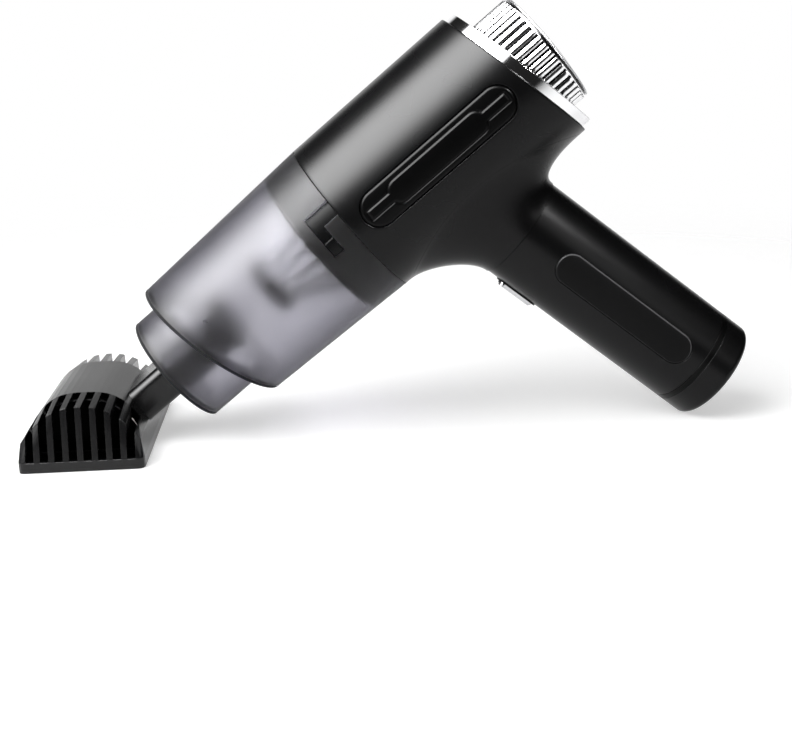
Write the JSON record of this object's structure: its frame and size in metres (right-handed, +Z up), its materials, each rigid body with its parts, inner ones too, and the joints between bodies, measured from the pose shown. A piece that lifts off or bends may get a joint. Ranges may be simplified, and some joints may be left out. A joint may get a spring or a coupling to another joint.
{
  "type": "handheld vacuum cleaner",
  "caption": "Cordless hand vacuum with a tilted barrel, smoky twist-off dust cup, finned exhaust crown, trigger handle and pull-off claw nozzle, standing on nozzle and handle.",
  "frame": {"origin": "on the floor, under the middle of the whole object's box", "axes": "+Z up, +X from the nozzle to the handle's end, +Y to the side away from the panel marked left"},
  "size_m": [0.2892, 0.086, 0.1675],
  "materials": {
    "black_plastic": "satin black moulding",
    "panel_plastic": "fine-grained black moulding",
    "plated_plastic": "chrome-plated moulding",
    "smoky_plastic": "smoky see-through moulding",
    "soft_rubber": "matt",
    "steel": "plain",
    "bronze": "sintered bush",
    "fan_plastic": "light moulding",
    "filter_paper": "pleated paper",
    "board": "coated board",
    "cell": "shrink-sleeved cell"
  },
  "bodies": {
    "body": {"body_shell": "black_plastic", "side_inlay_left": "panel_plastic", "side_inlay_right": "panel_plastic", "rear_ring": "plated_plastic", "exhaust_crown": "plated_plastic", "crown_cap": "plated_plastic", "handle_tube": "black_plastic", "grip_pad_left": "panel_plastic", "grip_pad_right": "panel_plastic", "end_band": "panel_plastic", "end_cap": "black_plastic", "trigger_bezel": "panel_plastic", "power_switch": "panel_plastic", "control_board": "board", "charging_socket": "panel_plastic", "battery_cell_left": "cell", "battery_cell_right": "cell", "battery_holder": "panel_plastic", "motor_can": "steel", "front_bearing": "bronze", "rear_bearing": "bronze", "fan_shroud": "panel_plastic", "motor_mount": "panel_plastic", "motor_gasket": "soft_rubber", "motor_screws": "steel", "stack_screws": "steel", "front_collar": "black_plastic", "cup_seal": "soft_rubber", "filter_frame": "panel_plastic", "filter_pleats": "filter_paper", "filter_cap": "black_plastic"},
    "rotor": {"motor_shaft": "steel", "impeller": "fan_plastic"},
    "trigger": {"trigger_button": "plated_plastic", "switch_plunger": "panel_plastic"},
    "cup": {"dust_cup": "smoky_plastic", "flap_pin": "steel"},
    "flap": {"inlet_flap": "soft_rubber"},
    "nozzle": {"claw_nozzle": "black_plastic"}
  },
  "joints": [
    {"name": "rotor_spin", "type": "hinge", "parent": "body", "child": "rotor", "pos_m": [0.0213, 0, 0.11416], "axis": [0.7791, 0, 0.6269], "continuous": true},
    {"name": "trigger_press", "type": "slide", "parent": "body", "child": "trigger", "axis": [0.6249, 0, 0.7807], "range_m": [0, 0.0015], "stiffness_N_per_m": 800},
    {"name": "cup_twist", "type": "hinge", "parent": "body", "child": "cup", "pos_m": [-0.01383, 0, 0.08589], "axis": [0.7791, 0, 0.6269], "range_deg": [0, 20]},
    {"name": "flap_swing", "type": "hinge", "parent": "cup", "child": "flap", "pos_m": [-0.07092, 0, 0.05323], "axis": [0, -1, 0], "range_deg": [0, 60]},
    {"name": "nozzle_pull", "type": "slide", "parent": "cup", "child": "nozzle", "axis": [-0.7791, 0, -0.6269], "range_m": [0, 0.026]}
  ]
}
